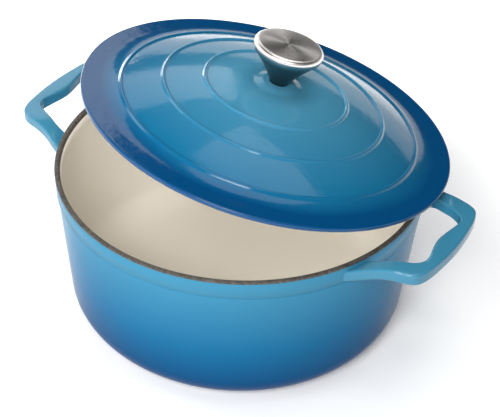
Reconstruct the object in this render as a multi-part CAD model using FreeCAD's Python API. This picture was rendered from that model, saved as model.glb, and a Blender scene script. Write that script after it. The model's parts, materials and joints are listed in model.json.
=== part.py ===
import FreeCAD, Part
import math
import os

# Round enamelled cast-iron casserole with a loose domed lid, shown with the lid lifted on one side.
# The origin is the centre of the flat base, +X points along the handles and +Z is up.

# Pot
potHeight = 120.0
rimRadius = 132.0
rimWidth = 4.0
rimInnerRound = 1.8
rimOuterRound = 0.8
bareRimOutside = 1.4
bareRimInside = 2.6
bandHeight = 14.5
bandDraft = 0.6
bandStep = 0.8
baseInset = 33.0
baseCornerRadius = 24.5
wallThickness = 4.0
baseThickness = 5.0

# Enamel
enamelThickness = 0.5

# Handles
handleProjection = 38.4
gripBow = 4.2
gripHalfLength = 36.5
armOuterHalfWidth = 46.4
armInnerHalfWidth = 34.8
armFlare = 6.5
gripWaist = 14.2
gripHoleHalf = 24.0
gripEndWidth = 10.4
shoulderRadius = 8.0
holeRadius = 5.0
handleThickness = 9.0
handleEdgeRound = 2.6
handleRootDrop = 8.8
handleRise = 12.0
handleLevelRun = 20.4

# Lid
lidOverhang = 0.8
flangeThickness = 3.4
flangeTopRound = 1.9
flangeBottomRound = 1.2
domeFootInset = 20.0
domeHeight = 28.6
coveRadius = 20.0
beadInsets = (6.9, 34.2, 61.9)
beadSection = 1.7
beadRise = 1.3
lidThickness = 4.5
lipDepth = 3.0
lipClearance = 3.6
lipWidth = 5.5
lipRound = 2.0
seatGap = 0.3

# Knob and its fixing
bossRadius = 16.0
bossRise = 1.3
knobHeight = 30.0
knobRadius = 24.4
knobFootRadius = 7.0
knobFootHeight = 1.0
knobLowerRound = 6.0
knobTopRound = 3.2
knobCrown = 0.6
padRadius = 10.0
padDepth = 1.0
screwRadius = 3.0
screwClearance = 0.3
threadClearance = 0.1
screwLength = 20.0
screwHeadRadius = 5.5
screwHeadHeight = 3.2
screwHeadRound = 1.5
screwEndGap = 2.0
screwSlotWidth = 1.4
screwSlotDepth = 1.4
washerRadius = 8.0
washerThickness = 1.2

# Lifted pose of the lid: it turns about a level line outside the wall and below the rim.
lidTilt = 13.24
liftHeading = 50.8
hingeOutside = 22.0
hingeDrop = 61.7

vertical = FreeCAD.Vector(0, 0, 1)
baseFlatRadius = rimRadius - baseInset
handleReach = rimRadius + handleProjection
gripEndReach = handleReach - gripBow
gripHoleReach = handleReach - gripEndWidth
handleLevelReach = handleReach - handleLevelRun
lidRadius = rimRadius + lidOverhang
domeFootRadius = lidRadius - domeFootInset
domeRise = domeHeight - flangeThickness
domeRadius = (domeFootRadius ** 2 + domeRise ** 2) / (2 * domeRise)
rimInnerRadius = rimRadius - rimWidth
lipRadius = rimInnerRadius - lipClearance
bossTop = domeHeight + bossRise
padFace = domeHeight - lidThickness - padDepth


def at(radius, height):
    return FreeCAD.Vector(radius, 0, height)


def line(start, end):
    return Part.LineSegment(at(*start), at(*end)).toShape()


def arc(start, middle, end):
    return Part.Arc(at(*start), at(*middle), at(*end)).toShape()


def onCircle(centre, radius, degrees):
    angle = math.radians(degrees)
    return (centre[0] + radius * math.cos(angle), centre[1] + radius * math.sin(angle))


def roundArc(centre, radius, startDegrees, endDegrees):
    middle = (startDegrees + endDegrees) / 2
    return arc(*[onCircle(centre, radius, angle) for angle in (startDegrees, middle, endDegrees)])


def turned(edges):
    return Part.Face(Part.Wire(edges)).revolve(FreeCAD.Vector(), vertical, 360)


def cylinder(radius, bottom, top):
    return Part.makeCylinder(radius, top - bottom, at(0, bottom))


def tangentAngle(centre, radius, point, side):
    # Angle on the circle, to one side of the point, where a straight line from the point touches it.
    across = point[0] - centre[0]
    along = point[1] - centre[1]
    return math.degrees(math.atan2(along, across) + side * math.acos(radius / math.hypot(across, along)))


def potOutside(inset):
    # The base stays flat at its full depth, and the wall and its corner lie inside by the inset.
    centre = (baseFlatRadius, baseCornerRadius)
    corner = baseCornerRadius - inset
    bandFoot = rimRadius - bandDraft - inset
    wallTop = (bandFoot - bandStep, potHeight - bandHeight)
    angle = tangentAngle(centre, corner, wallTop, -1)
    cornerFoot = (baseFlatRadius, inset)
    edges = [line((0, 0), (baseFlatRadius, 0))]
    if inset > 0:
        edges.append(line((baseFlatRadius, 0), cornerFoot))
    edges.append(roundArc(centre, corner, -90, angle))
    edges.append(line(onCircle(centre, corner, angle), wallTop))
    edges.append(line(wallTop, (bandFoot, potHeight - bandHeight + bandStep)))
    edges.append(line((bandFoot, potHeight - bandHeight + bandStep), (rimRadius - inset, potHeight)))
    edges.append(line((rimRadius - inset, potHeight), (0, potHeight)))
    edges.append(line((0, potHeight), (0, 0)))
    return turned(edges)


def potInside(inset):
    # Hollow of the pot, wider and deeper by the inset where the lining lies.
    centre = (baseFlatRadius, baseCornerRadius + baseThickness - wallThickness)
    corner = baseCornerRadius - wallThickness + inset
    wallTop = (rimInnerRadius + inset, potHeight)
    angle = tangentAngle(centre, corner, wallTop, -1)
    floor = centre[1] - corner
    return turned([
        line((0, floor), (baseFlatRadius, floor)),
        roundArc(centre, corner, -90, angle),
        line(onCircle(centre, corner, angle), wallTop),
        line(wallTop, (0, potHeight)),
        line((0, potHeight), (0, floor)),
    ])


def rimSection():
    # Bare ring on top of the wall, with both edges rounded.
    top = potHeight
    outerFoot = top - bareRimOutside
    innerFoot = top - bareRimInside
    bandSlope = bandDraft / (bandHeight - bandStep)
    outerTop = (rimRadius - rimOuterRound - bandSlope * rimOuterRound, top - rimOuterRound)
    innerTop = (rimInnerRadius + rimInnerRound, top - rimInnerRound)
    footRadius = rimRadius - bandSlope * bareRimOutside
    skinRadius = footRadius - enamelThickness
    skinFoot = (rimRadius - bandSlope * bareRimInside - enamelThickness, innerFoot)
    lining = rimInnerRadius + enamelThickness
    return turned([
        line((lining, innerFoot), skinFoot),
        line(skinFoot, (skinRadius, outerFoot)),
        line((skinRadius, outerFoot), (footRadius, outerFoot)),
        line((footRadius, outerFoot), onCircle(outerTop, rimOuterRound, 0)),
        roundArc(outerTop, rimOuterRound, 0, 90),
        line(onCircle(outerTop, rimOuterRound, 90), onCircle(innerTop, rimInnerRound, 90)),
        roundArc(innerTop, rimInnerRound, 90, 180),
        line(onCircle(innerTop, rimInnerRound, 180), (rimInnerRadius, innerFoot)),
        line((rimInnerRadius, innerFoot), (lining, innerFoot)),
    ])


def makePot():
    skinTop = potHeight - bareRimOutside
    liningTop = potHeight - bareRimInside
    iron = potOutside(enamelThickness).cut(potInside(enamelThickness))
    iron = iron.common(cylinder(lidRadius, 0, liningTop)).fuse(rimSection()).removeSplitter()
    skin = potOutside(0).cut(potOutside(enamelThickness)).common(cylinder(lidRadius, 0, skinTop))
    lining = potInside(enamelThickness).cut(potInside(0)).common(cylinder(lidRadius, 0, liningTop))
    return iron, skin, lining


def planFace(points, gripArc):
    # Flat outline through the points, closed across the pot, with one arc along the grip.
    edges = []
    for start, end in zip(points, points[1:]):
        if (start, end) == (gripArc[0], gripArc[2]):
            edges.append(Part.Arc(*[FreeCAD.Vector(*point) for point in gripArc]).toShape())
        else:
            edges.append(Part.LineSegment(FreeCAD.Vector(*start), FreeCAD.Vector(*end)).toShape())
    return Part.Face(Part.Wire(edges))


def uprightEdges(solid, low, high):
    # Edges that run straight up at the corners between the two distances from the axis.
    found = []
    for edge in solid.Edges:
        ends = [vertex.Point for vertex in edge.Vertexes]
        if len(ends) == 2 and (ends[0] - ends[1]).cross(vertical).Length < 1e-6 and low < ends[0].x < high:
            found.append(edge)
    return found


def handleProfile():
    # Side view of the handle: the arms climb from the wall, then run level through the grip.
    rootTop = potHeight - handleRootDrop
    gripTop = rootTop + handleRise
    run = handleLevelReach - math.sqrt(rimInnerRadius ** 2 - (armOuterHalfWidth + armFlare) ** 2)
    bendRadius = (run ** 2 + handleRise ** 2) / (2 * handleRise)
    bendCentre = (handleLevelReach, gripTop - bendRadius)
    rootAngle = 90 + math.degrees(math.asin(run / bendRadius))
    top = [onCircle(bendCentre, bendRadius, angle) for angle in (rootAngle, (rootAngle + 90) / 2, 90)]
    far = handleReach + shoulderRadius
    low = [(x, z - handleThickness) for x, z in top]
    edges = [
        arc(*top),
        line(top[2], (far, gripTop)),
        line((far, gripTop), (far, gripTop - handleThickness)),
        line((far, gripTop - handleThickness), low[2]),
        arc(*low[::-1]),
        line(low[0], top[0]),
    ]
    depth = 2 * (armOuterHalfWidth + armFlare + shoulderRadius)
    return Part.Face(Part.Wire(edges)).extrude(FreeCAD.Vector(0, depth, 0)), depth


def makeHandle():
    inside = baseFlatRadius
    rootOuter = armOuterHalfWidth + armFlare
    rootInner = armInnerHalfWidth + armFlare
    armEnd = gripEndReach - shoulderRadius
    outerGrip = [(gripEndReach, -gripHalfLength), (handleReach, 0), (gripEndReach, gripHalfLength)]
    outer = [(inside, -rootOuter), (rimRadius, -rootOuter), (armEnd, -armOuterHalfWidth),
             outerGrip[0], outerGrip[2], (armEnd, armOuterHalfWidth), (rimRadius, rootOuter),
             (inside, rootOuter), (inside, -rootOuter)]
    waist = handleReach - gripWaist
    holeEnd = gripHoleReach - shoulderRadius
    innerGrip = [(gripHoleReach, -gripHoleHalf), (waist, 0), (gripHoleReach, gripHoleHalf)]
    hole = [(inside, -rootInner), (rimRadius, -rootInner), (holeEnd, -armInnerHalfWidth),
            innerGrip[0], innerGrip[2], (holeEnd, armInnerHalfWidth), (rimRadius, rootInner),
            (inside, rootInner), (inside, -rootInner)]
    height = potHeight + handleRise + handleThickness
    up = FreeCAD.Vector(0, 0, height)
    block = planFace([(x, y, 0) for x, y in outer], [(x, y, 0) for x, y in outerGrip]).extrude(up)
    block = block.makeFillet(shoulderRadius, uprightEdges(block, armEnd - 1, handleReach))
    void = planFace([(x, y, 0) for x, y in hole], [(x, y, 0) for x, y in innerGrip]).extrude(up)
    void = void.makeFillet(holeRadius, uprightEdges(void, holeEnd - 1, handleReach))
    side, depth = handleProfile()
    side.translate(FreeCAD.Vector(0, -depth / 2, 0))
    loop = side.common(block.cut(void))
    return loop.makeFillet(handleEdgeRound, longEdges(loop)).cut(potOutside(0))


def longEdges(loop):
    # Edges that run round the top and bottom of the loop, without its upright and crosswise ones.
    found = []
    for edge in loop.Edges:
        span = edge.Vertexes[-1].Point - edge.Vertexes[0].Point
        upright = math.hypot(span.x, span.y) < 1e-6
        crosswise = math.hypot(span.x, span.z) < 1e-6 and edge.Curve.TypeId == "Part::GeomLine"
        if not upright and not crosswise:
            found.append(edge)
    return found


def lidOutside(inset):
    # Flange, cove and dome down to the seat face, with the beads and the boss for the knob on top.
    sphere = domeRadius - inset
    sphereFoot = domeHeight - domeRadius
    flangeTop = flangeThickness - inset
    cove = coveRadius + inset
    coveHeight = flangeTop + cove
    coveCentre = (math.sqrt((sphere + cove) ** 2 - (coveHeight - sphereFoot) ** 2), coveHeight)
    coveAngle = math.degrees(math.atan2(coveHeight - sphereFoot, coveCentre[0]))
    topRound = flangeTopRound - inset
    bottomRound = flangeBottomRound - inset
    topCentre = (lidRadius - flangeTopRound, flangeThickness - flangeTopRound)
    bottomCentre = (lidRadius - flangeBottomRound, flangeBottomRound)
    edges = [
        roundArc((0, sphereFoot), sphere, 90, coveAngle),
        roundArc(coveCentre, cove, coveAngle + 180, 270),
        line(onCircle(coveCentre, cove, 270), onCircle(topCentre, topRound, 90)),
        roundArc(topCentre, topRound, 90, 0),
        line(onCircle(topCentre, topRound, 0), onCircle(bottomCentre, bottomRound, 0)),
        roundArc(bottomCentre, bottomRound, 0, -90),
    ]
    foot = onCircle(bottomCentre, bottomRound, -90)
    if inset > 0:
        edges.append(line(foot, (foot[0], 0)))
    edges.append(line((foot[0], 0), (0, 0)))
    edges.append(line((0, 0), (0, domeHeight - inset)))
    solid = turned(edges)
    for beadInset in beadInsets:
        radius = domeFootRadius - beadInset
        surface = sphereFoot + math.sqrt(domeRadius ** 2 - radius ** 2)
        centre = at(0, surface + beadRise - beadSection)
        solid = solid.fuse(Part.makeTorus(radius, beadSection - inset, centre, vertical))
    return solid.fuse(cylinder(bossRadius - inset, flangeThickness, bossTop - inset))


def lidInside(inset):
    # Hollow under the dome, wider and deeper by the inset where the lining lies.
    sphere = domeRadius - lidThickness + inset
    sphereFoot = domeHeight - domeRadius
    ceiling = flangeThickness - lidThickness + inset
    meeting = math.sqrt(sphere ** 2 - (ceiling - sphereFoot) ** 2)
    meetingAngle = math.degrees(math.atan2(ceiling - sphereFoot, meeting))
    wall = lipRadius - lipWidth + inset
    hollow = turned([
        roundArc((0, sphereFoot), sphere, 90, meetingAngle),
        line((meeting, ceiling), (wall, ceiling)),
        line((wall, ceiling), (wall, -lipDepth)),
        line((wall, -lipDepth), (0, -lipDepth)),
        line((0, -lipDepth), (0, domeHeight - lidThickness + inset)),
    ])
    return hollow.cut(cylinder(padRadius - inset, padFace + inset, domeHeight))


def lipRing():
    # Locating lip under the flange, rounded where it enters the rim.
    centre = (lipRadius - lipRound, lipRound - lipDepth)
    return turned([
        line((0, 0), (lipRadius, 0)),
        line((lipRadius, 0), onCircle(centre, lipRound, 0)),
        roundArc(centre, lipRound, 0, -90),
        line(onCircle(centre, lipRound, -90), (0, -lipDepth)),
        line((0, -lipDepth), (0, 0)),
    ])


def makeLid():
    bore = cylinder(screwRadius + screwClearance, 0, bossTop + 1)
    iron = lidOutside(enamelThickness).fuse(lipRing()).removeSplitter()
    iron = iron.cut(lidInside(enamelThickness)).cut(bore)
    skin = lidOutside(0).cut(lidOutside(enamelThickness)).cut(bore)
    lining = lidInside(enamelThickness).cut(lidInside(0)).cut(bore)
    return iron, skin, lining


def makeKnob():
    # Turned knob: a short foot, a flaring cone, a rounded edge and a slightly crowned face.
    foot = bossTop
    top = foot + knobHeight
    widest = top - knobCrown - knobTopRound
    lowerCentre = (knobRadius - knobLowerRound, widest)
    upperCentre = (knobRadius - knobTopRound, widest)
    faceEdge = onCircle(upperCentre, knobTopRound, 90)
    footTop = (knobFootRadius, foot + knobFootHeight)
    coneAngle = tangentAngle(lowerCentre, knobLowerRound, footTop, 1)
    crownRadius = (faceEdge[0] ** 2 + knobCrown ** 2) / (2 * knobCrown)
    crownAngle = math.degrees(math.acos(faceEdge[0] / crownRadius))
    body = turned([
        line((0, foot), (knobFootRadius, foot)),
        line((knobFootRadius, foot), footTop),
        line(footTop, onCircle(lowerCentre, knobLowerRound, coneAngle)),
        roundArc(lowerCentre, knobLowerRound, coneAngle, 0),
        roundArc(upperCentre, knobTopRound, 0, 90),
        roundArc((0, top - crownRadius), crownRadius, crownAngle, 90),
        line((0, top), (0, foot)),
    ])
    threadDepth = screwTip() + screwEndGap
    return body.cut(cylinder(screwRadius + threadClearance, foot, threadDepth))


def screwTip():
    return padFace - washerThickness + screwLength


def makeScrew():
    # Slotted pan-head screw, up through the washer and the lid into the knob.
    seat = padFace - washerThickness
    headFoot = seat - screwHeadHeight
    headCentre = (screwHeadRadius - screwHeadRound, headFoot + screwHeadRound)
    head = turned([
        line((0, headFoot), onCircle(headCentre, screwHeadRound, -90)),
        roundArc(headCentre, screwHeadRound, -90, 0),
        line(onCircle(headCentre, screwHeadRound, 0), (screwHeadRadius, seat)),
        line((screwHeadRadius, seat), (screwRadius, seat)),
        line((screwRadius, seat), (screwRadius, screwTip())),
        line((screwRadius, screwTip()), (0, screwTip())),
        line((0, screwTip()), (0, headFoot)),
    ])
    corner = FreeCAD.Vector(-screwHeadRadius, -screwSlotWidth / 2, headFoot)
    return head.cut(Part.makeBox(2 * screwHeadRadius, screwSlotWidth, screwSlotDepth, corner))


def makeWasher():
    ring = cylinder(washerRadius, padFace - washerThickness, padFace)
    return ring.cut(cylinder(screwRadius + screwClearance, 0, padFace))


def liftedLid():
    # Every piece of the lid, first seated level on the rim and then turned up to its lifted pose.
    iron, skin, lining = makeLid()
    pieces = {"lid_casting": iron, "lid_outer_enamel": skin, "lid_inner_enamel": lining}
    pieces["knob"] = makeKnob()
    pieces["knob_screw"] = makeScrew()
    pieces["knob_washer"] = makeWasher()
    heading = math.radians(liftHeading)
    outward = FreeCAD.Vector(math.cos(heading), math.sin(heading), 0)
    pivot = outward * (rimRadius + hingeOutside) + vertical * (potHeight - hingeDrop)
    for shape in pieces.values():
        shape.translate(vertical * (potHeight + seatGap))
        shape.rotate(pivot, vertical.cross(outward), lidTilt)
    return pieces


def potPieces():
    iron, skin, lining = makePot()
    right = makeHandle()
    left = right.copy()
    left.rotate(FreeCAD.Vector(), vertical, 180)
    return {"pot_casting": iron, "pot_outer_enamel": skin, "pot_inner_enamel": lining,
            "right_handle": right, "left_handle": left}


os.makedirs("parts", exist_ok=True)
for name, shape in {**potPieces(), **liftedLid()}.items():
    shape.exportStep(f"parts/{name}.step")
    print(name, shape.isValid(), len(shape.Solids), round(shape.Volume / 1000, 2))
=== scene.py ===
import json
import math

import bmesh
import bpy
from mathutils import Matrix, Vector


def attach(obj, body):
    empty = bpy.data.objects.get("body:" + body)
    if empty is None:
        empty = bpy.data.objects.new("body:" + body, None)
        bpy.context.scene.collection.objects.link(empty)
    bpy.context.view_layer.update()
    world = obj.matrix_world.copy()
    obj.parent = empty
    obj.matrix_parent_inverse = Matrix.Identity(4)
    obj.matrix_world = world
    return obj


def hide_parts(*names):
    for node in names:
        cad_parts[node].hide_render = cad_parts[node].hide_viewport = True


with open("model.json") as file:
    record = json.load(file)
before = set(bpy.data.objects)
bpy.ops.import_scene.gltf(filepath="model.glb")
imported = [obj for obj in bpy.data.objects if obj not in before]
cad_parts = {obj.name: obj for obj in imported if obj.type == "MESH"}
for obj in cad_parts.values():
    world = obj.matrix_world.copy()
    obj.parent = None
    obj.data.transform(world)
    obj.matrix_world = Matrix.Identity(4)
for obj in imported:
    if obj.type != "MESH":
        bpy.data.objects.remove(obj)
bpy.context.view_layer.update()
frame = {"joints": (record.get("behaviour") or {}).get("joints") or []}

mm = 0.001

# Points nearer than this are one point, in metres.
weld = {
    "mesh": 1e-6,
    "seam": 1e-7,
    "edge": 1e-8,
}

# The lid is drawn level on the rim and then turned up about its lifting line.
lidPose = {
    "seatGap": 0.3,
    "tilt": 13.24,
}


class Flow:
    # One socket of a node tree, so that shader and shape maths read as plain expressions.
    def __init__(self, tree, socket):
        self.tree = tree
        self.socket = socket

    def math(self, operation, *others):
        return self.node("Math", {"operation": operation}, self, *others)

    def node(self, kind, settings, *values, out=None, **named):
        prefix = "" if kind.startswith("Geometry") else "ShaderNode"
        made = self.tree.nodes.new(prefix + kind)
        for key, value in settings.items():
            if key == "stops":
                ramp = made.color_ramp
                while len(ramp.elements) < len(value):
                    ramp.elements.new(0.5)
                for stop, (place, colour) in zip(ramp.elements, value):
                    stop.position = place
                    stop.color = (*colour, 1)
            else:
                setattr(made, key, value)
        given = list(zip([s for s in made.inputs if s.enabled], values))
        given += [(made.inputs[key.replace("_", " ")], value) for key, value in named.items()]
        for socket, value in given:
            if isinstance(value, Flow):
                self.tree.links.new(value.socket, socket)
            elif value is not None:
                socket.default_value = value
        result = made.outputs[out] if out else next(s for s in made.outputs if s.enabled)
        return Flow(self.tree, result)

    def reflected(self, operation, other):
        return self.node("Math", {"operation": operation}, other, self)

    def __add__(self, other):
        return self.math("ADD", other)

    def __radd__(self, other):
        return self.reflected("ADD", other)

    def __sub__(self, other):
        return self.math("SUBTRACT", other)

    def __rsub__(self, other):
        return self.reflected("SUBTRACT", other)

    def __mul__(self, other):
        return self.math("MULTIPLY", other)

    def __rmul__(self, other):
        return self.reflected("MULTIPLY", other)

    def __truediv__(self, other):
        return self.math("DIVIDE", other)

    def __rtruediv__(self, other):
        return self.reflected("DIVIDE", other)

    def __pow__(self, other):
        return self.math("POWER", other)

    def __rpow__(self, other):
        return self.reflected("POWER", other)

    def between(self, low, high, start=0.0, end=1.0):
        # Smooth change from start to end as the value goes from low to high.
        smooth = {"interpolation_type": "SMOOTHSTEP"}
        return self.node("MapRange", smooth, self, low, high, start, end)

    def ramp(self, *stops):
        return self.node("ValToRGB", {"stops": stops}, self)

    def tint(self, other, amount):
        # Mix this colour towards another one.
        return self.node("Mix", {"data_type": "RGBA"}, amount, self, other)


# Geometry helpers

def liftMatrix():
    joint = next(j for j in frame["joints"] if j["name"] == "lid_lift")
    pivot = Vector(joint["pos_m"])
    seat = Matrix.Translation((0, 0, (pot["height"] + lidPose["seatGap"]) * mm))
    turn = Matrix.Rotation(math.radians(lidPose["tilt"]), 4, Vector(joint["axis"]).normalized())
    return Matrix.Translation(pivot) @ turn @ Matrix.Translation(-pivot) @ seat


def arcPoints(centre, radius, start, end, count):
    steps = [math.radians(start + (end - start) * i / count) for i in range(count + 1)]
    return [(centre[0] + radius * math.cos(a), centre[1] + radius * math.sin(a)) for a in steps]


def touchAngle(centre, radius, point, side):
    # Where a straight line from the point touches the circle, in degrees.
    across = point[0] - centre[0]
    along = point[1] - centre[1]
    spread = math.acos(radius / math.hypot(across, along))
    return math.degrees(math.atan2(along, across) + side * spread)


def partWay(a, b, share):
    return a[0] + (b[0] - a[0]) * share, a[1] + (b[1] - a[1]) * share


def ease(t):
    return t * t * (3 - 2 * t)


def split(points, longest):
    # Cut long straight runs of an outline into shorter ones.
    full = []
    for a, b in zip(points, points[1:] + points[:1]):
        pieces = max(1, math.ceil(math.dist(a, b) / longest))
        full += [partWay(a, b, i / pieces) for i in range(pieces)]
    return full


def addObject(name, data):
    made = bpy.data.objects.new(name, data)
    bpy.context.scene.collection.objects.link(made)
    return made


def addPiece(name, mesh, body, node):
    mesh.shade_smooth()
    piece = addObject(name, mesh)
    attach(piece, body)
    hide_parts(node)
    print("made", name, len(mesh.polygons), "faces")
    return piece


def finishMesh(name, bm, body, node, place=None):
    bmesh.ops.remove_doubles(bm, verts=bm.verts, dist=weld["mesh"])
    bmesh.ops.recalc_face_normals(bm, faces=bm.faces)
    mesh = bpy.data.meshes.new(name)
    bm.to_mesh(mesh)
    bm.free()
    if place is not None:
        mesh.transform(place)
    return addPiece(name, mesh, body, node)


def lathe(name, outline, segments, body, node, place=None):
    # Turn a closed outline of (radius, height) in millimetres about the upright axis.
    bm = bmesh.new()
    rings = []
    for i in range(segments):
        angle = 2 * math.pi * i / segments
        c, s = math.cos(angle) * mm, math.sin(angle) * mm
        rings.append([bm.verts.new((r * c, r * s, z * mm)) for r, z in outline])
    onAxis = [r * mm < weld["edge"] for r, _ in outline]
    for a, b in zip(rings, rings[1:] + rings[:1]):
        for i in range(len(outline)):
            j = (i + 1) % len(outline)
            if not (onAxis[i] and onAxis[j]):
                bm.faces.new((a[i], b[i], b[j], a[j]))
    bmesh.ops.remove_doubles(bm, verts=bm.verts, dist=weld["seam"])
    bmesh.ops.dissolve_degenerate(bm, edges=bm.edges, dist=weld["edge"])
    return finishMesh(name, bm, body, node, place)


# Pot

pot = {
    "height": 120.0,
    "rimRadius": 131.98,
    "rimInner": 128.0,
    "bandHeight": 14.5,
    "bandDraft": 0.6,
    "bandStep": 0.8,
    "bandSoftness": 0.5,
    "grooveDepth": 0.7,
    "grooveHeight": 1.6,
    "baseFlat": 99.0,
    "baseCorner": 24.5,
    "wall": 4.0,
    "base": 5.0,
    "coat": 0.5,
    "bareOutside": 1.4,
    "bareInside": 2.6,
    "innerRound": 1.8,
    "outerRound": 0.8,
    "segments": 224,
    "cornerPoints": 18,
    "wallRows": 26,
    "bandRows": 6,
    "beadPoints": 4,
    "liningCornerPoints": 16,
    "outerRoundPoints": 5,
    "innerRoundPoints": 8,
    "liningStep": 6.0,
    "castingStep": 8.0,
}


def potWall(inset):
    # Outer wall from the foot of the base corner up to the shoulder of the band.
    centre = (pot["baseFlat"], pot["baseCorner"])
    corner = pot["baseCorner"] - inset
    bandFoot = pot["height"] - pot["bandHeight"]
    wallTop = (pot["rimRadius"] - pot["bandDraft"] - pot["bandStep"] - inset, bandFoot)
    angle = touchAngle(centre, corner, wallTop, -1)
    points = arcPoints(centre, corner, -90, angle, pot["cornerPoints"])
    foot = points[-1]
    rows = pot["wallRows"]
    points += [partWay(foot, wallTop, i / rows) for i in range(1, rows)]
    rows = pot["bandRows"]
    for i in range(rows + 1):  # shallow groove at the foot of the band
        t = i / rows
        depth = pot["grooveDepth"] * ease(t)
        points.append((wallTop[0] - depth, bandFoot - pot["grooveHeight"] * (1 - t)))
    for i in range(1, rows + 1):  # shoulder of the band above it
        t = i / rows
        swell = (pot["bandStep"] + pot["grooveDepth"]) * ease(t) - pot["grooveDepth"]
        points.append((wallTop[0] + swell, bandFoot + pot["bandSoftness"] * t))
    return points


def makePotPieces():
    top = pot["height"]
    coat = pot["coat"]
    segments = pot["segments"]
    slope = pot["bandDraft"] / (pot["bandHeight"] - pot["bandSoftness"])
    skinTop = top - pot["bareOutside"]
    skinRadius = pot["rimRadius"] - slope * pot["bareOutside"]
    bead = (skinRadius - coat, skinTop - coat)  # the enamel's edge is a small round bead
    outline = potWall(0) + arcPoints(bead, coat, 0, 90, pot["beadPoints"]) + potWall(coat)[::-1]
    skin = lathe("potBlueEnamel", outline, segments, "pot", "pot_outer_enamel")

    centre = (pot["baseFlat"], pot["baseCorner"] + pot["base"] - pot["wall"])
    corner = pot["baseCorner"] - pot["wall"]
    liningTop = top - pot["bareInside"]
    angle = touchAngle(centre, corner, (pot["rimInner"], top), -1)
    wall = arcPoints(centre, corner, -90, angle, pot["liningCornerPoints"])
    climbed = (liningTop - wall[-1][1]) / (top - wall[-1][1])
    topRadius = wall[-1][0] + (pot["rimInner"] - wall[-1][0]) * climbed
    face = [(0, centre[1] - corner)] + wall + [(topRadius, liningTop)]
    back = [(r + coat if r else 0, z - coat if z < centre[1] else z) for r, z in face[::-1]]
    outline = split(face + back, pot["liningStep"])
    lining = lathe("potCreamLining", outline, segments, "pot", "pot_inner_enamel")

    outerRound, innerRound = pot["outerRound"], pot["innerRound"]
    outerTop = (pot["rimRadius"] - outerRound - slope * outerRound, top - outerRound)
    innerTop = (pot["rimInner"] + innerRound, top - innerRound)
    iron = [(0, 0), (pot["baseFlat"], 0)] + potWall(coat)
    iron += [(skinRadius - coat, skinTop), (skinRadius, skinTop)]
    iron += arcPoints(outerTop, outerRound, 0, 90, pot["outerRoundPoints"])
    iron += arcPoints(innerTop, innerRound, 90, 180, pot["innerRoundPoints"])
    iron += [(pot["rimInner"], liningTop)] + back
    outline = split(iron, pot["castingStep"])
    casting = lathe("potIron", outline, segments, "pot", "pot_casting")
    return skin, lining, casting


# Handles

handle = {
    "gripTop": 123.2,
    "rootTop": 114.6,
    "thickness": 9.0,
    "rootReach": 120.0,
    "levelReach": 152.0,
    "edgeRound": 1.9,
    "cornerPoints": 7,
    "stations": 96,
    "spanSteps": 12,
}

# Plan of half a loop, from the middle of the grip round the shoulder to the root inside the wall.
handleOuter = [(170.4, 0), (169.9, 13), (168.3, 28), (166.2, 37), (163.0, 42.6), (157.4, 45.6),
               (150, 47.4), (142, 49.4), (135, 51.6), (127, 55), (117, 58.5)]
handleInner = [(156.3, 0), (157.2, 8), (159.0, 16), (160.0, 21.6), (159.4, 26), (156.4, 30.2),
               (150.5, 33.6), (143, 36.4), (135, 39.6), (129, 40.6), (124.2, 40)]


def smoothPath(points, count):
    # Even samples of a smooth curve through the points.
    def at(i):
        return Vector(points[max(0, min(i, len(points) - 1))])
    fine = []
    for i in range(len(points) - 1):
        a, b, c, d = at(i - 1), at(i), at(i + 1), at(i + 2)
        if i == 0:
            a = Vector((points[1][0], -points[1][1]))  # mirror at the middle of the grip
        for k in range(handle["spanSteps"]):
            t = k / handle["spanSteps"]
            fine.append(0.5 * (2 * b + (c - a) * t + (2 * a - 5 * b + 4 * c - d) * t * t
                               + (3 * b - a - 3 * c + d) * t ** 3))
    fine.append(at(len(points) - 1))
    return [fine[round(i * (len(fine) - 1) / count)] for i in range(count + 1)]


def handleLevel(x):
    # Height of the top face: the arms climb out of the wall and run level through the grip.
    climb = (x - handle["rootReach"]) / (handle["levelReach"] - handle["rootReach"])
    t = min(1, max(0, climb))
    return handle["rootTop"] + (handle["gripTop"] - handle["rootTop"]) * (1 - (1 - t) ** 2)


def makeHandle(name, node, turn):
    half = handle["stations"] // 2
    edgeRound = handle["edgeRound"]
    tall = handle["thickness"] / 2
    near = list(zip(smoothPath(handleOuter, half), smoothPath(handleInner, half)))
    far = [(Vector((o.x, -o.y)), Vector((i.x, -i.y))) for o, i in near[:0:-1]]
    bm = bmesh.new()
    rings = []
    for o, i in far + near:
        middle = (o + i) / 2
        across = (o - i).normalized()
        wide = (o - i).length / 2
        level = handleLevel(middle.x) - tall
        section = []
        for quarter, (sideways, upward) in enumerate([(1, 1), (-1, 1), (-1, -1), (1, -1)]):
            corner = (sideways * (wide - edgeRound), upward * (tall - edgeRound))
            start = 90 * quarter
            section += arcPoints(corner, edgeRound, start, start + 90, handle["cornerPoints"])
        ring = []
        for offset, rise in section:
            point = middle + across * offset
            ring.append(bm.verts.new((point.x * mm, point.y * mm, (level + rise) * mm)))
        rings.append(ring)
    for a, b in zip(rings, rings[1:]):
        for k in range(len(a)):
            bm.faces.new((a[k - 1], a[k], b[k], b[k - 1]))
    bm.faces.new(rings[0])
    bm.faces.new(rings[-1][::-1])
    return finishMesh(name, bm, "pot", node, Matrix.Rotation(turn, 4, "Z"))


# Lid

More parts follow.
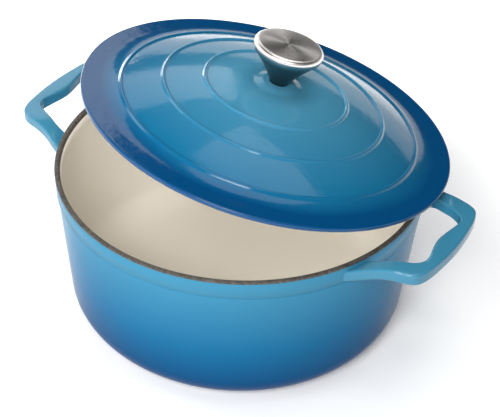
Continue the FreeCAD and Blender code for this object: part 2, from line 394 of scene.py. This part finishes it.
lid = {
    "radius": 132.66,
    "flange": 3.4,
    "domeRadius": 265.0,
    "domeHeight": 28.6,
    "coveBlend": 5.0,
    "edgeSquare": 0.6,
    "beads": (105.9, 78.6, 50.9),
    "beadRise": 1.3,
    "beadHalf": 1.6,
    "beadBlend": 0.3,
    "bossRadius": 15.5,
    "bossRise": 1.3,
    "bossInside": 5.0,
    "bossOutside": 2.5,
    "coat": 0.5,
    "thickness": 4.5,
    "lipRadius": 124.4,
    "lipDepth": 3.0,
    "lipWidth": 5.5,
    "lipRound": 2.0,
    "hollowRound": 1.2,
    "padRadius": 10.0,
    "padDepth": 1.0,
    "padBevel": 0.6,
    "padBevelRise": 0.5,
    "padFoot": 0.4,
    "rings": 420,
    "segments": 200,
    "topShare": 0.84,  # of the rings, those on the top
    "edgeShare": 0.05,  # and those on the rounded edge
    "underStart": 0.0001,
    "castSegments": 160,
    "hollowRows": 40,
    "hollowPoints": 4,
    "lipPoints": 6,
    "crownRows": 30,
    "liningStep": 5.0,
    "castingStep": 6.0,
}


def lidSkinTree():
    # A grid is bent into the lid: one way runs round it, the other from the boss over the edge
    # and back beneath.
    tree = bpy.data.node_groups.new("lidSkin", "GeometryNodeTree")
    inputs = {
        "Radius": lid["radius"],
        "Flange": lid["flange"],
        "Dome Radius": lid["domeRadius"],
        "Dome Height": lid["domeHeight"],
        "Cove Blend": lid["coveBlend"],
        "Bead Rise": lid["beadRise"],
        "Bead Half Width": lid["beadHalf"],
        "Boss Radius": lid["bossRadius"],
        "Boss Rise": lid["bossRise"],
        "Coat": lid["coat"],
    }

    def socket(name, kind, way="INPUT"):
        return tree.interface.new_socket(name, in_out=way, socket_type="NodeSocket" + kind)

    socket("Geometry", "Geometry")
    sockets = {name: socket(name, "Float") for name in inputs}
    finish = socket("Finish", "Material")
    socket("Geometry", "Geometry", "OUTPUT")
    source = tree.nodes.new("NodeGroupInput")
    size = {name: Flow(tree, source.outputs[name]) for name in inputs}
    start = Flow(tree, source.outputs["Finish"])

    grid = start.node("GeometryNodeMeshGrid", {}, 1.0, 1.0, lid["rings"], lid["segments"] + 1)
    place = start.node("GeometryNodeInputPosition", {})
    along = place.node("SeparateXYZ", {}, place, out="X") + 0.5
    turn = (place.node("SeparateXYZ", {}, place, out="Y") + 0.5) * (2 * math.pi)

    topShare, edgeShare = lid["topShare"], lid["edgeShare"]
    edgeRound = size["Flange"] * 0.5
    flatRadius = size["Radius"] - edgeRound
    onTop = (along / topShare).math("MINIMUM", 1.0)
    onEdge = ((along - topShare) / edgeShare).math("MAXIMUM", 0.0).math("MINIMUM", 1.0)
    edgeTurn = onEdge * math.pi
    under = (along - (topShare + edgeShare)) / (1 - topShare - edgeShare)
    under = under.math("MAXIMUM", 0.0)
    edgeReach = edgeRound * edgeTurn.math("SINE") ** lid["edgeSquare"]
    radius = flatRadius * onTop * (1 - under) + edgeReach

    domeFoot = size["Dome Height"] - size["Dome Radius"]
    reach = size["Dome Radius"] * size["Dome Radius"] - radius * radius
    dome = reach.math("SQRT") + domeFoot
    height = dome.math("SMOOTH_MAX", size["Flange"], size["Cove Blend"])
    for bead in lid["beads"]:
        away = (radius - bead) / size["Bead Half Width"]
        rise = (1 - away * away) * size["Bead Rise"]
        height = height + rise.math("SMOOTH_MAX", 0.0, lid["beadBlend"])
    bossEdge = radius.between(size["Boss Radius"] - lid["bossInside"],
                              size["Boss Radius"] + lid["bossOutside"])
    height = height + size["Boss Rise"] * (1 - bossEdge)
    fall = edgeTurn.math("COSINE")
    squareFall = fall.math("SIGN") * fall.math("ABSOLUTE") ** lid["edgeSquare"]
    edgeDrop = edgeRound * (1 - squareFall)
    beneath = under.math("GREATER_THAN", lid["underStart"])
    height = height - edgeDrop * (1 - beneath) - size["Coat"] * beneath

    x = radius * turn.math("COSINE") * mm
    y = radius * turn.math("SINE") * mm
    moved = x.node("CombineXYZ", {}, x, y, height * mm)
    shape = grid.node("GeometryNodeSetPosition", {}, Geometry=grid, Position=moved)
    shape = shape.node("GeometryNodeMergeByDistance", {}, Geometry=shape, Distance=weld["mesh"])
    shape = shape.node("GeometryNodeRealizeInstances", {}, shape)
    shape = shape.node("GeometryNodeSetMaterial", {}, Geometry=shape, Material=start)
    output = tree.nodes.new("NodeGroupOutput")
    tree.links.new(shape.socket, output.inputs[0])
    values = {sockets[name].identifier: value for name, value in inputs.items()}
    return tree, values, finish.identifier


def makeLidSkin(finish):
    tree, values, finishSocket = lidSkinTree()
    carrier = addObject("lidSkinCarrier", bpy.data.meshes.new("lidSkinCarrier"))
    modifier = carrier.modifiers.new("lidSkin", "NODES")
    modifier.node_group = tree
    for identifier, value in values.items():
        modifier[identifier] = value
    modifier[finishSocket] = finish
    graph = bpy.context.evaluated_depsgraph_get()
    mesh = bpy.data.meshes.new_from_object(carrier.evaluated_get(graph))
    carrier.modifiers.remove(modifier)
    bpy.data.objects.remove(carrier)
    bm = bmesh.new()
    bm.from_mesh(mesh)
    bmesh.ops.remove_doubles(bm, verts=bm.verts, dist=weld["seam"])
    bmesh.ops.recalc_face_normals(bm, faces=bm.faces)
    bm.to_mesh(mesh)
    bm.free()
    mesh.name = "lidBlueEnamel"
    mesh.transform(liftMatrix())
    return addPiece("lidBlueEnamel", mesh, "lid", "lid_outer_enamel")


def domeAt(radius, drop):
    sphere = lid["domeRadius"] - drop
    return math.sqrt(sphere ** 2 - radius ** 2) + lid["domeHeight"] - lid["domeRadius"]


def lidHollow(inset):
    # Underside from the pad at the middle out to the foot of the lip.
    drop = lid["thickness"] - inset
    ceiling = lid["flange"] - drop
    padFace = lid["domeHeight"] - drop - lid["padDepth"]
    pad = lid["padRadius"] - inset
    wall = lid["lipRadius"] - lid["lipWidth"] + inset
    cornerRound = lid["hollowRound"]
    points = [(0, padFace), (pad - lid["padBevel"], padFace), (pad, padFace + lid["padBevelRise"])]
    start = pad + lid["padFoot"]
    rows = lid["hollowRows"]
    for i in range(rows + 1):
        radius = start + (wall - start - cornerRound) * i / rows
        points.append((radius, max(domeAt(radius, drop), ceiling)))
    corner = (wall - cornerRound, ceiling - cornerRound)
    points += arcPoints(corner, cornerRound, 90, 0, lid["hollowPoints"])
    return points + [(wall, -lid["lipDepth"])]


def makeLidPieces():
    place = liftMatrix()
    segments = lid["castSegments"]
    hollow = lidHollow(lid["coat"])
    outline = split(lidHollow(0) + hollow[::-1], lid["liningStep"])
    lining = lathe("lidCreamLining", outline, segments, "lid", "lid_inner_enamel", place)

    lip = (lid["lipRadius"] - lid["lipRound"], lid["lipRound"] - lid["lipDepth"])
    foot = lid["radius"] - lid["flange"] / 2
    iron = hollow + arcPoints(lip, lid["lipRound"], -90, 0, lid["lipPoints"])
    iron += [(lid["lipRadius"], 0), (foot, 0), (foot, lid["flange"] - lid["coat"])]
    rows = lid["crownRows"]
    for i in range(rows + 1):
        radius = foot * (1 - i / rows)
        iron.append((radius, max(domeAt(radius, 0), lid["flange"]) - lid["coat"]))
    outline = split(iron, lid["castingStep"])
    casting = lathe("lidIron", outline, segments, "lid", "lid_casting", place)
    return lining, casting


# Knob

knob = {
    "height": 30.0,
    "radius": 24.4,
    "foot": 7.0,
    "footHeight": 1.0,
    "lowerRound": 6.0,
    "topRound": 3.2,
    "topTurn": 88,
    "crown": 0.6,
    "conePull": 1.0,
    "segments": 160,
    "lowerPoints": 14,
    "topPoints": 10,
    "rows": 10,
}


def makeKnob():
    bossTop = lid["domeHeight"] + lid["bossRise"]
    top = bossTop + knob["height"]
    widest = top - knob["crown"] - knob["topRound"]
    lower = (knob["radius"] - knob["lowerRound"], widest)
    upper = (knob["radius"] - knob["topRound"], widest)
    foot = (knob["foot"], bossTop + knob["footHeight"])
    angle = touchAngle(lower, knob["lowerRound"], foot, 1)
    edge = arcPoints(lower, knob["lowerRound"], angle, 0, knob["lowerPoints"])
    edge += arcPoints(upper, knob["topRound"], 0, knob["topTurn"], knob["topPoints"])[1:]
    outline = [(0, bossTop), (knob["foot"], bossTop), foot]
    rows = knob["rows"]
    for i in range(1, rows):  # the cone is slightly hollow between foot and edge
        t = i / rows
        radius, height = partWay(foot, edge[0], t)
        outline.append((radius - knob["conePull"] * math.sin(math.pi * t), height))
    outline += edge
    faceRadius, faceEdge = edge[-1]
    for i in range(1, rows + 1):
        away = 1 - i / rows
        outline.append((faceRadius * away, faceEdge + (top - faceEdge) * (1 - away ** 2)))
    return lathe("knobBody", outline, knob["segments"], "lid", "knob", liftMatrix())


# Materials

bumpDepth = 0.0006
glassIor = 1.5


def newFinish(name):
    material = bpy.data.materials.new(name)
    material.use_nodes = True
    tree = material.node_tree
    tree.nodes.clear()
    place = Flow(tree, tree.nodes.new("ShaderNodeTexCoord").outputs["Object"])
    return material, place


def outputShader(shader):
    output = shader.tree.nodes.new("ShaderNodeOutputMaterial")
    shader.tree.links.new(shader.socket, output.inputs["Surface"])


def surface(place, colour, roughness, bump=None, strength=0.0, metallic=0.0, **constant):
    normal = None
    if bump is not None:
        normal = place.node("Bump", {}, Strength=strength, Distance=bumpDepth, Height=bump)
    outputShader(place.node("BsdfPrincipled", {}, Base_Color=colour, Roughness=roughness,
                            Metallic=metallic, Normal=normal, **constant))


def speckle(place, scale, detail=3.0):
    return place.node("TexNoise", {}, Vector=place, Scale=scale, Detail=detail)


def lidAxis(place):
    # Distance from the lid's own axis and height above its seat, in metres.
    matrix = liftMatrix()
    axis = tuple((matrix.to_3x3() @ Vector((0, 0, 1))).normalized())

    def vector(operation, *values, **named):
        return place.node("VectorMath", {"operation": operation}, *values, **named)

    offset = vector("SUBTRACT", place, tuple(matrix.translation))
    height = vector("DOT_PRODUCT", offset, axis, out="Value")
    flat = vector("SUBTRACT", offset, vector("SCALE", Vector=axis, Scale=height))
    return vector("LENGTH", flat, out="Value"), height


enamelShades = {
    "skyBlue": (0.056, 0.268, 0.431),
    "midBlue": (0.007, 0.144, 0.315),
    "deepBlue": (0.000, 0.041, 0.152),
    "lidCentre": (0.068, 0.289, 0.445),
    "lidMiddle": (0.008, 0.153, 0.302),
    "lidFlange": (0.000, 0.068, 0.202),
    "handleBlue": (0.047, 0.240, 0.377),
    "handleShade": (0.042, 0.221, 0.351),
    "cream": (0.930, 0.885, 0.800),
    "creamShade": (0.915, 0.865, 0.775),
}


def shadeRamp(value, look):
    return value.ramp(*[(stop, enamelShades[shade]) for stop, shade in look["shades"]])


def drifting(place, value, look):
    # Let the shades wander a little to either side.
    drift = speckle(place, look["driftScale"]) * look["drift"] - look["drift"] / 2
    return value + drift


def flecked(place, colour, look):
    fleck = speckle(place, look["fleckScale"]).between(*look["fleckRange"])
    return colour.tint(look["fleckColour"], fleck * look["fleckAmount"])


def glassCoat(place, colour, look):
    # Fused glass: a slow ripple with a fine one on it, and a gloss that varies a little.
    fine = speckle(place, look["fineScale"]) * look["fineShare"]
    ripple = speckle(place, look["rippleScale"]) + fine
    roughness = look["roughness"] + speckle(place, look["glossScale"]) * look["glossSpread"]
    surface(place, colour, roughness, ripple, look["rippleStrength"], Coat_Weight=look["coat"],
            Coat_Roughness=look["coatRoughness"], IOR=glassIor,
            Specular_IOR_Level=look["specular"])


potLook = {
    "shades": ((0.05, "deepBlue"), (0.45, "midBlue"), (0.95, "skyBlue")),
    "driftScale": 9.0,
    "drift": 0.014,
    "fleckScale": 900.0,
    "fleckRange": (0.66, 0.8),
    "fleckColour": (0.02, 0.12, 0.3, 1),
    "fleckAmount": 0.25,
    "rippleScale": 60.0,
    "fineScale": 300.0,
    "fineShare": 0.3,
    "rippleStrength": 0.12,
    "roughness": 0.16,
    "glossScale": 25.0,
    "glossSpread": 0.1,
    "coat": 0.03,
    "coatRoughness": 0.05,
    "specular": 0.04,
}


def potBlue():
    material, place = newFinish("potBlueShaded")
    height = place.node("SeparateXYZ", {}, place, out="Z")
    share = drifting(place, height, potLook) / (pot["height"] * mm)
    glassCoat(place, flecked(place, shadeRamp(share, potLook), potLook), potLook)
    return material


lidLook = {
    "shades": ((0.25, "lidCentre"), (0.78, "lidMiddle"), (0.9, "lidFlange")),
    "driftScale": 12.0,
    "drift": 0.012,
    "fleckScale": 900.0,
    "fleckRange": (0.66, 0.8),
    "fleckColour": (0.02, 0.12, 0.3, 1),
    "fleckAmount": 0.25,
    "rippleScale": 70.0,
    "fineScale": 260.0,
    "fineShare": 0.35,
    "rippleStrength": 0.5,
    "roughness": 0.1,
    "glossScale": 25.0,
    "glossSpread": 0.06,
    "coat": 0.28,
    "coatRoughness": 0.04,
    "specular": 0.16,
}


def lidBlue():
    material, place = newFinish("lidBlueShaded")
    away, _ = lidAxis(place)
    share = drifting(place, away, lidLook) / (lid["radius"] * mm)
    glassCoat(place, flecked(place, shadeRamp(share, lidLook), lidLook), lidLook)
    return material


handleLook = {
    "shades": ((0.3, "handleBlue"), (0.7, "handleShade")),
    "shadeScale": 20.0,
    "fleckScale": 700.0,
    "fleckRange": (0.64, 0.8),
    "fleckColour": (0.03, 0.18, 0.36, 1),
    "fleckAmount": 0.25,
    "rippleScale": 70.0,
    "fineScale": 320.0,
    "fineShare": 0.3,
    "rippleStrength": 0.15,
    "roughness": 0.12,
    "glossScale": 30.0,
    "glossSpread": 0.06,
    "coat": 0.25,
    "coatRoughness": 0.04,
    "specular": 0.25,
}


def handleBlue():
    material, place = newFinish("handleBlueEnamel")
    colour = shadeRamp(speckle(place, handleLook["shadeScale"]), handleLook)
    glassCoat(place, flecked(place, colour, handleLook), handleLook)
    return material


creamLook = {
    "shades": ((0.3, "cream"), (0.75, "creamShade")),
    "shadeScale": 14.0,
    "rippleScale": 45.0,
    "fineScale": 260.0,
    "fineShare": 0.25,
    "rippleStrength": 0.06,
    "roughness": 0.3,
    "glossScale": 20.0,
    "glossSpread": 0.08,
    "coat": 0.15,
    "coatRoughness": 0.2,
    "specular": 0.3,
}


def creamEnamel():
    material, place = newFinish("creamEnamel")
    colour = shadeRamp(speckle(place, creamLook["shadeScale"]), creamLook)
    glassCoat(place, colour, creamLook)
    return material


ironLook = {
    "shades": ((0.3, (0.045, 0.040, 0.036)), (0.7, (0.150, 0.135, 0.120))),
    "grainScale": 420.0,
    "grainDetail": 6.0,
    "grainStrength": 0.6,
    "roughness": 0.5,
    "glossSpread": 0.25,
    "metallic": 0.35,
}


def bareIron():
    material, place = newFinish("bareCastIron")
    grain = speckle(place, ironLook["grainScale"], ironLook["grainDetail"])
    roughness = ironLook["roughness"] + grain * ironLook["glossSpread"]
    surface(place, grain.ramp(*ironLook["shades"]), roughness, grain, ironLook["grainStrength"],
            metallic=ironLook["metallic"])
    return material


steelLook = {
    "shades": ((0.3, (0.820, 0.785, 0.750)), (0.75, (0.900, 0.865, 0.830))),
    "smudgeScale": 60.0,
    "lineDensity": 4500.0,
    # Painted shade: the cone and the lower rounded edge are tinted towards dark grey, standing in
    # for the shadow round the neck and dark reflections in the steel.
    "paintedShadeColour": (0.060, 0.060, 0.060, 1),
    "paintedShadeAmount": 0.92,
    "paintedShadeFrom": 19.0,  # height above the boss at which the painted shade on the cone starts to clear
    "paintedShadeTo": 29.7,
    "roughness": 0.23,
    "smudgeSpread": 0.1,
    "lineSpread": 0.04,
    "anisotropy": 0.8,
}


def turnedSteel(name, scratch):
    material, place = newFinish(name)
    away, height = lidAxis(place)
    lines = ((away + height) * steelLook["lineDensity"]).math("SINE") * 0.5 + 0.5
    smudge = speckle(place, steelLook["smudgeScale"])
    boss = lid["domeHeight"] + lid["bossRise"]
    # Painted shade mask: full strength up to the first height above the boss, clearing by the
    # second.
    paintedShadeMask = height.between((boss + steelLook["paintedShadeFrom"]) * mm, (boss + steelLook["paintedShadeTo"]) * mm,
                            steelLook["paintedShadeAmount"], 0.0)
    colour = smudge.ramp(*steelLook["shades"]).tint(steelLook["paintedShadeColour"], paintedShadeMask)
    roughness = steelLook["roughness"] + smudge * steelLook["smudgeSpread"]
    roughness = roughness + lines * steelLook["lineSpread"]
    surface(place, colour, roughness, metallic=1.0, Anisotropic=steelLook["anisotropy"] * scratch)
    return material


# Stage

view = {
    "eye": (0.44072, -0.70916, 0.73232),
    "aim": (0.01693, -0.01339, 0.09341),
    "roll": 2.346,
    "focalPixels": 1457.6,
    "widthPixels": 500,
    "sensorWidth": 36.0,
    "nearest": 0.05,
    "farthest": 50.0,
}


def makeCamera():
    data = bpy.data.cameras.new("photoCamera")
    data.sensor_width = view["sensorWidth"]
    data.sensor_fit = "HORIZONTAL"
    data.lens = view["focalPixels"] / view["widthPixels"] * view["sensorWidth"]
    data.clip_start = view["nearest"]
    data.clip_end = view["farthest"]
    eye = Vector(view["eye"])
    forward = (Vector(view["aim"]) - eye).normalized()
    level = forward.cross(Vector((0, 0, 1))).normalized()
    upright = level.cross(forward)
    roll = math.radians(view["roll"])
    right = level * math.cos(roll) + upright * math.sin(roll)
    up = right.cross(forward)
    turn = Matrix((right, up, -forward)).transposed().to_4x4()
    camera = addObject("photoCamera", data)
    camera.matrix_world = Matrix.Translation(eye) @ turn
    bpy.context.scene.camera = camera


stage = {
    "radius": 14.0,
    "wallHeight": 2.5,
    "segments": 64,
    "diffuse": 0.95,
    # Painted light on the floor: its glow rises from the near to the far level between fadeFrom
    # and fadeTo, hiding the object's shadow beyond them.
    "nearGlow": 0.15,
    "farGlow": 1.0,
    "fadeFrom": 0.17,
    "fadeTo": 0.55,
    "sky": 0.03,
    "lampAim": (0, 0, 0.1),
}

# Place, width and height, and power of each soft lamp.
lamps = {
    "cameraFill": ((0.40, -1.06, 1.0), (0.6, 0.6), 18),
    "frontWindow": ((-0.6, -1.05, 0.7), (0.6, 0.6), 5),
    "leftWindow": ((-1.3, -0.3, 0.75), (0.6, 0.8), 5),
    "backWindow": ((-0.95, 0.82, 0.93), (1.1, 0.55), 3.4),
    "lowWindow": ((-1.22, 0.82, 0.36), (0.5, 0.2), 4),
    "topSoft": ((0.18, 0.05, 2.0), (0.9, 0.9), 8),
    "backSoft": ((0.12, 0.64, 1.5), (0.9, 0.6), 3),
}


def areaLight(name, place, size, power):
    data = bpy.data.lights.new(name, "AREA")
    data.shape = "RECTANGLE"
    data.size, data.size_y = size
    data.energy = power
    lamp = addObject(name, data)
    lamp.location = place
    toward = Vector(stage["lampAim"]) - Vector(place)
    lamp.rotation_euler = toward.to_track_quat("-Z", "Y").to_euler()


def seenRays(place):
    # One for what the camera sees directly, mirrored in metal or through glass.
    rays = place.tree.nodes.new("ShaderNodeLightPath")
    direct, mirrored, through = [Flow(place.tree, rays.outputs[f"Is {kind} Ray"])
                                 for kind in ("Camera", "Glossy", "Transmission")]
    return direct + mirrored + through


def stagePiece(name, bm, near, far):
    # Matt pale surface that also glows for camera, mirrored and transmitted rays: painted light,
    # weak near the object and rising to full white away from it, so that it covers the far part of
    # the object's shadow.
    mesh = bpy.data.meshes.new(name)
    bm.to_mesh(mesh)
    bm.free()
    piece = addObject(name, mesh)
    material, place = newFinish(name)
    away = place.node("VectorMath", {"operation": "LENGTH"}, place, out="Value")
    fade = away.between(stage["fadeFrom"], stage["fadeTo"])
    glowLevel = fade.ramp((0.0, (near,) * 3), (1.0, (far,) * 3))
    cloth = place.node("BsdfDiffuse", {}, (*(stage["diffuse"],) * 3, 1))
    glow = place.node("Emission", {}, glowLevel, seenRays(place))
    outputShader(place.node("AddShader", {}, cloth, glow))
    mesh.materials.append(material)


def makeStage():
    circle = {"segments": stage["segments"], "radius": stage["radius"]}
    bm = bmesh.new()
    bmesh.ops.create_circle(bm, cap_ends=True, **circle)
    stagePiece("paleFloor", bm, stage["nearGlow"], stage["farGlow"])
    bm = bmesh.new()
    lower = bmesh.ops.create_circle(bm, **circle)["verts"]
    upper = [bm.verts.new(v.co + Vector((0, 0, stage["wallHeight"]))) for v in lower]
    for i in range(len(lower)):
        bm.faces.new((lower[i - 1], lower[i], upper[i], upper[i - 1]))
    stagePiece("paleBackdrop", bm, stage["farGlow"], stage["farGlow"])

    world = bpy.data.worlds.new("softStudio")
    bpy.context.scene.world = world
    world.use_nodes = True
    world.node_tree.nodes.clear()
    sky = world.node_tree.nodes.new("ShaderNodeBackground")
    sky.inputs["Strength"].default_value = stage["sky"]
    sky.inputs["Color"].default_value = (1, 1, 1, 1)
    output = world.node_tree.nodes.new("ShaderNodeOutputWorld")
    world.node_tree.links.new(sky.outputs["Background"], output.inputs["Surface"])
    for name, (place, size, power) in lamps.items():
        areaLight(name, place, size, power)


makeCamera()
bareFinish = bareIron()
creamFinish = creamEnamel()
steelFinish = turnedSteel("turnedSteel", 1.0)
steelPlain = turnedSteel("steelFastener", 0.3)
handleFinish = handleBlue()
potSkin, potLining, potIron = makePotPieces()
rightHandle = makeHandle("rightHandle", "right_handle", 0.0)
leftHandle = makeHandle("leftHandle", "left_handle", math.pi)
lidFinish = lidBlue()
lidSkin = makeLidSkin(lidFinish)
lidLining, lidIron = makeLidPieces()
knobBody = makeKnob()
finishes = [
    (potSkin, potBlue(), "blue_enamel"),
    (potLining, creamFinish, "cream_enamel"),
    (potIron, bareFinish, "bare_iron"),
    (rightHandle, handleFinish, "blue_enamelled_iron"),
    (leftHandle, handleFinish, "blue_enamelled_iron"),
    (lidSkin, lidFinish, "blue_enamel"),
    (lidLining, creamFinish, "cream_enamel"),
    (lidIron, bareFinish, "bare_iron"),
    (knobBody, steelFinish, "steel"),
]
for piece, material, slotName in finishes:
    piece.data.materials.clear()
    piece.data.materials.append(material)
for node in ("knob_screw", "knob_washer"):
    carried = bpy.data.objects[node]
    carried.data.materials.clear()
    carried.data.materials.append(steelPlain)
makeStage()
bpy.context.scene.view_settings.view_transform = "Standard"
print("stage ready")
